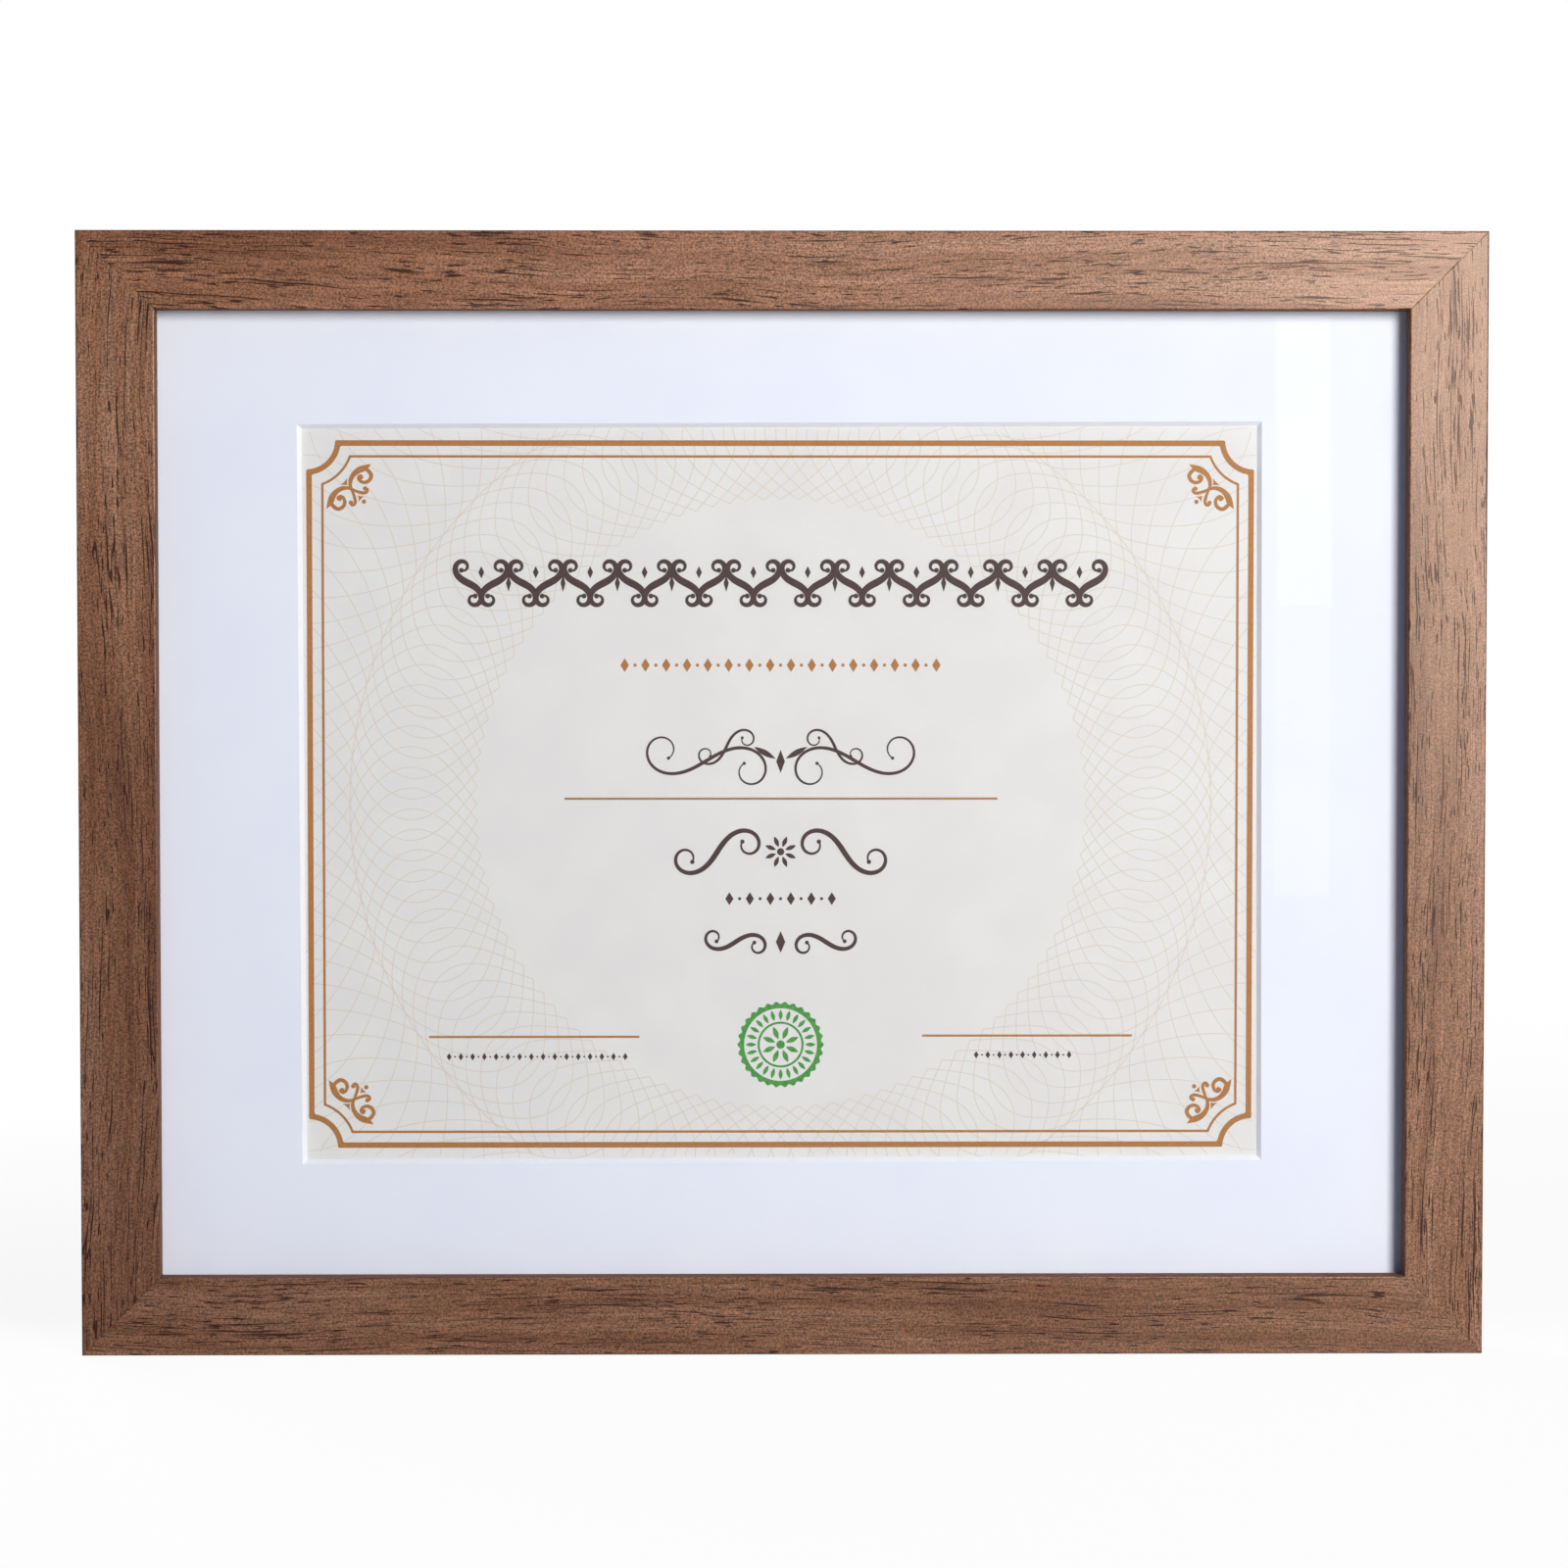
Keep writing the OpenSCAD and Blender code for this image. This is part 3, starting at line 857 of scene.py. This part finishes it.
def rounded(outline, radius):
    """The outline with its sharp corners softened."""
    soft = []
    for k, (x, z) in enumerate(outline):
        before, after = outline[k - 1], outline[(k + 1) % len(outline)]
        arms = [(before[0] - x, before[1] - z), (after[0] - x, after[1] - z)]
        lengths = [math.hypot(*arm) for arm in arms]
        cosine = (arms[0][0] * arms[1][0] + arms[0][1] * arms[1][1]) / (lengths[0] * lengths[1])
        if cosine < NEARLY_STRAIGHT:
            soft.append((x, z))
            continue
        reach = [min(radius, ROUNDING_LIMIT * length) / length for length in lengths]
        starts = [(x + arm[0] * r, z + arm[1] * r) for arm, r in zip(arms, reach)]
        for step in range(ROUNDING_STEPS + 1):
            t = step / ROUNDING_STEPS
            shares = ((1 - t) ** 2, 2 * t * (1 - t), t**2)
            soft.append(tuple(
                shares[0] * a + shares[1] * b + shares[2] * c
                for a, b, c in zip(starts[0], (x, z), starts[1])
            ))
    return soft


def notched_outline(inset, notch):
    """A rectangle inset from the outer one, each corner cut by an arc about that one's corner."""
    across = math.asin(inset / notch)
    outline = []
    for sx, sz in CORNER_SIGNS:
        arc = []
        for k in range(NOTCH_STEPS + 1):
            angle = across + (TAU / 4 - 2 * across) * k / NOTCH_STEPS
            x = THICK_HALF[0] - notch * math.sin(angle)
            z = THICK_HALF[1] - notch * math.cos(angle)
            arc.append((RULE_MIDDLE[0] + sx * x, RULE_MIDDLE[1] + sz * z))
        outline += arc if sx == sz else arc[::-1]
    return outline


def border(ink):
    """Double rule whose corners are cut in by arcs."""
    piece = Print("print_border", ink, LIFT_RULES)
    thick = (0.0, THICK_WIDTH, THICK_NOTCH)
    thin = (THIN_INSET, THIN_WIDTH, THIN_NOTCH)
    for inset, width, notch in (thick, thin):
        radius = RULE_ROUNDING * width / THICK_WIDTH
        outer = rounded(notched_outline(inset, notch), radius)
        inner = rounded(notched_outline(inset + width, notch + width), radius)
        piece.rise()
        piece.strip([*outer, outer[0]], [*inner, inner[0]])
    piece.done()


# Corner ornament: places outward from where its two strands cross, each with its stroke's width
CORNER_CROSSING = (118.1, 84.3)
CORNER_SIZE = 0.95
CORNER_BOLDNESS = 1.25
CORNER_STEPS = 5
WEDGE_STEPS = 6
WEDGE_HOLLOW = 0.9
CORNER_STRAND = (
    (-3.95, 0.15, 0.5),
    (-4.5, 0.1, 0.55),
    (-4.45, -0.65, 0.65),
    (-3.5, -1.05, 0.7),
    (-1.9, -0.7, 0.65),
    (0.0, 0.0, 0.6),
    (1.2, 0.4, 0.75),
    (2.8, 0.25, 0.95),
    (4.35, -0.6, 1.1),
    (5.5, -2.0, 1.35),
    (6.2, -3.7, 1.3),
    (7.3, -5.6, 0.08),
)
CORNER_VOLUTE = (
    (6.1, -3.7, 0.7),
    (5.3, -4.9, 0.85),
    (3.95, -5.7, 0.85),
    (2.55, -5.05, 0.8),
    (2.0, -3.8, 0.75),
    (2.4, -2.5, 0.7),
    (3.3, -1.95, 0.6),
    (4.05, -2.4, 0.5),
    (3.95, -3.0, 0.45),
)
CORNER_CURL_BLOB = (-3.85, 0.25, 0.6)
CORNER_VOLUTE_BLOB = (3.5, -2.75, 0.6)
CORNER_WEDGES = (
    ((1.25, 3.25), (3.25, 1.25), (1.15, 1.15)),
    ((-1.75, -1.75), (-2.0, -3.6), (-3.6, -2.0)),
)
CORNER_DOT = (-3.55, 0.6)


def hollow_wedge(tips):
    """A three-pointed outline with its sides drawn in."""
    middle = (sum(x for x, z in tips) / 3, sum(z for x, z in tips) / 3)
    outline = []
    for first, second in zip(tips, (*tips[1:], tips[0])):
        for k in range(WEDGE_STEPS):
            t = k / WEDGE_STEPS
            drawn = WEDGE_HOLLOW * t * (1 - t)
            outline.append(tuple(
                (a * (1 - t) + b * t) * (1 - drawn) + m * drawn
                for a, b, m in zip(first, second, middle)
            ))
    return outline


def corner_ornaments(ink):
    """Two crossing scrolls, mirrored on each other, in all four corners."""
    piece = Print("print_corners", ink, LIFT_ORNAMENT)
    for sx, sz in CORNER_SIGNS:

        def place(outward, along):
            return (
                RULE_MIDDLE[0] + sx * (CORNER_CROSSING[0] + outward * CORNER_SIZE),
                RULE_MIDDLE[1] + sz * (CORNER_CROSSING[1] + along * CORNER_SIZE),
            )

        for swapped in (False, True):
            for strand in (CORNER_STRAND, CORNER_VOLUTE):
                path = smooth_path(strand, CORNER_STEPS)
                if swapped:
                    path = [(q, p, width) for p, q, width in path]
                piece.rise()
                piece.stroke([(*place(p, q), width * CORNER_BOLDNESS) for p, q, width in path])
            for p, q, radius in (CORNER_CURL_BLOB, CORNER_VOLUTE_BLOB):
                centre = place(q, p) if swapped else place(p, q)
                piece.disc(*centre, radius)
        for tips in CORNER_WEDGES:
            piece.patch([place(p, q) for p, q in hollow_wedge(tips)])
        spot, radius = CORNER_DOT
        piece.disc(*place(spot, spot), radius)
    piece.done()


SHEET_AXIS = -0.6

# Rules: left end, right end and height. Chains: the same, and the size of a lozenge.
SIGNING_RULES = ((-60.3, 59.4, -1.3), (-97.9, -39.7, -67.3), (38.6, 96.8, -67.05))
SIGNING_WIDTH = 0.6
UPPER_CHAIN = (-46.5, 45.3, 35.6, 1.9)
LOWER_CHAIN = (SHEET_AXIS - 17.0, SHEET_AXIS + 17.0, -29.0, 1.8)
CAPTION_CHAINS = ((-94.0, -42.0, -72.8, 1.05), (52.0, 81.0, -72.4, 1.05))

HEADING_HEIGHT = 58.2
HEADING_PITCH = 15.0
HEADING_PAIRS = 12

# Scrolls: outward from the middle, height, length, tilt in degrees, heaviest and finest stroke
HEADING_SCROLLS = ((3.6, HEADING_HEIGHT, 13.4, 72, 2.0, 0.5),)
FLOURISH_SCROLLS = (
    (20.5, 9.2, 35.0, 14, 1.0, 0.34),
    (15.0, 13.0, 17.0, -20, 0.8, 0.3),
)
TAILPIECE_SCROLLS = (
    (17.5, -16.0, 25.0, -12, 1.5, 0.45),
    (12.5, -41.0, 17.5, 12, 1.3, 0.4),
)

# Lozenges: height, half their width and half their height
HEADING_LOZENGES = ((HEADING_HEIGHT + 3.0, 0.8, 1.7), (HEADING_HEIGHT - 3.4, 0.8, 1.7))
HEADING_BETWEEN = (HEADING_HEIGHT, 0.7, 2.4)
FLOURISH_LOZENGE = (9.0, 1.2, 3.2)
TAILPIECE_LOZENGE = (-41.0, 1.3, 3.0)

# Leaf: near and far end and half its width. Rosette: height, radius and number of petals.
LEAF_HEIGHT = 9.0
LEAF_SLOPE = 0.5
LEAF_SIZE = (1.6, 8.4, 0.8)
TAILPIECE_ROSETTE = (-16.0, 4.6, 8)


def rule_lines(ink):
    """Lines to be signed on, and a chain of lozenges above them."""
    piece = Print("print_lines", ink, LIFT_ORNAMENT)
    for x0, x1, z in SIGNING_RULES:
        piece.rule(x0, x1, z, SIGNING_WIDTH)
    piece.chain(*UPPER_CHAIN)
    piece.done()


def scrolls_beside(piece, x, side, scrolls):
    """The scrolls of a table, on one side of the place given."""
    for out, z, length, tilt, heavy, fine in scrolls:
        piece.scroll(x + side * out, z, length, math.radians(tilt), side, heavy, fine)


def heading(ink):
    """Band of S-scrolls in mirrored pairs, with lozenges in and between them, bar the middle."""
    piece = Print("print_heading", ink, LIFT_ORNAMENT)
    for k in range(HEADING_PAIRS):
        x = SHEET_AXIS + HEADING_PITCH * (k - (HEADING_PAIRS - 1) / 2)
        for side in (1, -1):
            scrolls_beside(piece, x, side, HEADING_SCROLLS)
        for lozenge in HEADING_LOZENGES:
            piece.lozenge(x, *lozenge)
        if k and k != HEADING_PAIRS / 2:
            piece.lozenge(x - HEADING_PITCH / 2, *HEADING_BETWEEN)
    piece.done()


def flourishes(ink):
    """A pen flourish over the middle line, and a tailpiece below it."""
    piece = Print("print_flourish", ink, LIFT_ORNAMENT)
    for side in (1, -1):
        scrolls_beside(piece, SHEET_AXIS, side, FLOURISH_SCROLLS)
        leaf_angle = TAU / 4 - side * TAU / 4 + side * LEAF_SLOPE
        piece.petal(SHEET_AXIS, LEAF_HEIGHT, leaf_angle, *LEAF_SIZE)
        scrolls_beside(piece, SHEET_AXIS, side, TAILPIECE_SCROLLS)
    piece.lozenge(SHEET_AXIS, *FLOURISH_LOZENGE)
    piece.rosette(SHEET_AXIS, *TAILPIECE_ROSETTE)
    piece.chain(*LOWER_CHAIN)
    piece.lozenge(SHEET_AXIS, *TAILPIECE_LOZENGE)
    piece.done()


def captions(ink):
    """Fine chains under the two outer lines."""
    piece = Print("print_captions", ink, LIFT_ORNAMENT)
    for chain in CAPTION_CHAINS:
        piece.chain(*chain)
    piece.done()


# Seal: a waved rim, a ring of petals, an inner ring and a rosette. Where each lies is a share of
# the seal's radius.
SEAL_PLACE = (SHEET_AXIS, -69.5)
SEAL_RADIUS = 11.6
SEAL_RIM = 1.5
SEAL_WAVE = 0.35
SEAL_LOBES = 30
SEAL_PETALS = 24
PETALS_FROM = 0.58
PETALS_TO = 0.84
SEAL_PETAL_WIDTH = 0.55
INNER_RING = 0.55
INNER_RING_WIDTH = 0.6
SEAL_ROSETTE = 0.46
SEAL_ROSETTE_PETALS = 8
RING_SIDES = 240


def ring(piece, radius, width, wave=0.0, lobes=1):
    """A ring whose outer edge waves."""
    outer, inner = [], []
    for k, (c, s) in enumerate(unit_circle(RING_SIDES)):
        reach = radius + wave * math.cos(TAU * k * lobes / RING_SIDES)
        outer.append((SEAL_PLACE[0] + reach * c, SEAL_PLACE[1] + reach * s))
        inner.append((SEAL_PLACE[0] + (radius - width) * c, SEAL_PLACE[1] + (radius - width) * s))
    piece.rise()
    piece.strip([*outer, outer[0]], [*inner, inner[0]])


def seal(ink):
    """A plain rosette seal."""
    piece = Print("print_seal", ink, LIFT_ORNAMENT)
    ring(piece, SEAL_RADIUS, SEAL_RIM, SEAL_WAVE, SEAL_LOBES)
    ring(piece, SEAL_RADIUS * INNER_RING, INNER_RING_WIDTH)
    near, far = SEAL_RADIUS * PETALS_FROM, SEAL_RADIUS * PETALS_TO
    for k in range(SEAL_PETALS):
        piece.petal(*SEAL_PLACE, TAU * k / SEAL_PETALS, near, far, SEAL_PETAL_WIDTH)
    piece.rosette(*SEAL_PLACE, SEAL_RADIUS * SEAL_ROSETTE, SEAL_ROSETTE_PETALS)
    piece.done()


def make_print():
    brown = ink_material("ink_brown", srgb(184, 127, 70), srgb(172, 115, 60))
    tan = ink_material("ink_tan", srgb(225, 215, 200), srgb(219, 209, 193), roughness=0.75)
    umber = ink_material("ink_umber", srgb(82, 62, 60), srgb(68, 50, 50))
    green = ink_material("ink_green", srgb(92, 168, 74), srgb(58, 140, 66))
    guilloche(tan)
    border(brown)
    corner_ornaments(brown)
    rule_lines(brown)
    heading(umber)
    flourishes(umber)
    captions(umber)
    seal(green)


# Floor, world and lamps

FLOOR_REACH = 8.0
FLOOR_DROP = 0.02 * MM
FLOOR_PALE = (0.92, 0.92, 0.93, 1.0)
FLOOR_DIM = (0.35, 0.35, 0.36, 1.0)

# The floor glows white from FLOOR_WHITE out. Within FLOOR_LIT of the object its glow is less, so
# that shadows show, and least behind the object, from BEHIND_STARTS to BEHIND_FULL along y.
FLOOR_LIT = 0.35
FLOOR_WHITE = 1.6
GLOW_BEFORE = 0.95
GLOW_BEHIND = 0.8
BEHIND_STARTS = -0.02
BEHIND_FULL = 0.06

# What mirrors see: the room before the object is dim, and the backdrop behind it white
ROOM_GREY = 0.15
ROOM_ENDS = -0.06
BACKDROP_BLEND = 0.35


def background_share(g):
    """1 for rays that look at the background: the camera's, reflected and transmitted ones."""
    path = g.add("ShaderNodeLightPath")
    seen = g.math("ADD", path.outputs["Is Camera Ray"], path.outputs["Is Glossy Ray"])
    return g.math("ADD", seen, path.outputs["Is Transmission Ray"], clamp=True)


def white_to_camera(g, level):
    """The level given, but full for rays straight from the camera."""
    return g.math("MAXIMUM", level, g.add("ShaderNodeLightPath").outputs["Is Camera Ray"])


def floor_material():
    """Pale and matt, with a white glow for the camera that leaves the object's shadow."""
    material, g = new_material("floor")
    where = g.place()
    y = g.split(where)[1]
    away = g.add("ShaderNodeVectorMath", operation="DISTANCE")
    g.put(away.inputs[0], where)
    away.inputs[1].default_value = (MIDDLE.x, MIDDLE.y, cad_low.z)
    near_glow = g.ramp(y, BEHIND_STARTS, BEHIND_FULL, GLOW_BEFORE, GLOW_BEHIND)
    glow = g.ramp(away.outputs["Value"], FLOOR_LIT, FLOOR_WHITE, near_glow, 1.0)
    matt = g.add("ShaderNodeBsdfDiffuse")
    g.put(matt.inputs["Color"], g.mix(background_share(g), FLOOR_DIM, FLOOR_PALE))
    white = g.add("ShaderNodeEmission")
    g.put(white.inputs["Strength"], white_to_camera(g, g.ramp(y, ROOM_ENDS, 0.0, ROOM_GREY, 1.0)))
    share = g.math("MULTIPLY", background_share(g), glow)
    g.surface(g.mixed(share, matt.outputs[0], white.outputs[0]))
    return material


def make_floor():
    data = bpy.data.meshes.new("floor")
    z = cad_low.z - FLOOR_DROP
    corners = [(sx * FLOOR_REACH, sy * FLOOR_REACH, z) for sx, sy in CORNER_SIGNS]
    data.from_pydata(corners, [], [(0, 1, 2, 3)])
    floor = bpy.data.objects.new("floor", data)
    bpy.context.scene.collection.objects.link(floor)
    data.materials.append(floor_material())


AMBIENT = 0.16
AMBIENT_TINT = (0.4, 0.5, 1.0, 1.0)


def make_world():
    """A cool fill on the object, and a backdrop that is white to the camera and in most mirrors."""
    world = bpy.data.worlds.new("world")
    bpy.context.scene.world = world
    world.use_nodes = True
    g = Graph(world.node_tree)
    fill = g.add("ShaderNodeBackground")
    fill.inputs["Color"].default_value = AMBIENT_TINT
    fill.inputs["Strength"].default_value = AMBIENT
    y = g.split(g.add("ShaderNodeTexCoord").outputs["Generated"])[1]
    backdrop = g.ramp(y, -BACKDROP_BLEND, BACKDROP_BLEND, ROOM_GREY, 1.0)
    seen = g.add("ShaderNodeBackground")
    seen.inputs["Color"].default_value = WHITE
    g.put(seen.inputs["Strength"], white_to_camera(g, backdrop))
    out = g.add("ShaderNodeOutputWorld")
    shader = g.mixed(background_share(g), fill.outputs[0], seen.outputs[0])
    g.put(out.inputs["Surface"], shader)


# Soft boxes: place from the frame's middle and size, in metres, and watts
LAMPS = {
    "key": ((0.54, -1.07, 0.27), (0.3, 0.6), 8.4),
    "key_far": ((0.8, -1.8, 0.45), (0.6, 0.6), 16.4),
    "strip_high": ((0.3, -1.22, 0.13), (0.03, 0.16), 0.018),
    "strip_low": ((0.3, -1.22, -0.03), (0.03, 0.16), 0.009),
    "back_left": ((-0.9, 1.3, 0.7), (0.8, 0.8), 27.0),
    "back_right": ((1.1, 1.2, 0.4), (0.8, 0.8), 9.0),
}
LAMP_TINT = (1.0, 0.985, 0.96)


def make_lamp(name, from_middle, size, watts):
    """A soft box aimed at the frame's middle."""
    data = bpy.data.lights.new(name, "AREA")
    data.shape = "RECTANGLE"
    data.size, data.size_y = size
    data.energy = watts
    data.color = LAMP_TINT
    lamp = bpy.data.objects.new(name, data)
    bpy.context.scene.collection.objects.link(lamp)
    offset = Vector(from_middle)
    lamp.location = MIDDLE + offset
    lamp.rotation_euler = (-offset).to_track_quat("-Z", "Y").to_euler()
    lamp.visible_camera = False


make_camera()
dress_nodes()
make_print()
make_floor()
make_world()
for lamp_name, lamp_look in LAMPS.items():
    make_lamp(lamp_name, *lamp_look)
bpy.context.scene.view_settings.view_transform = "Standard"
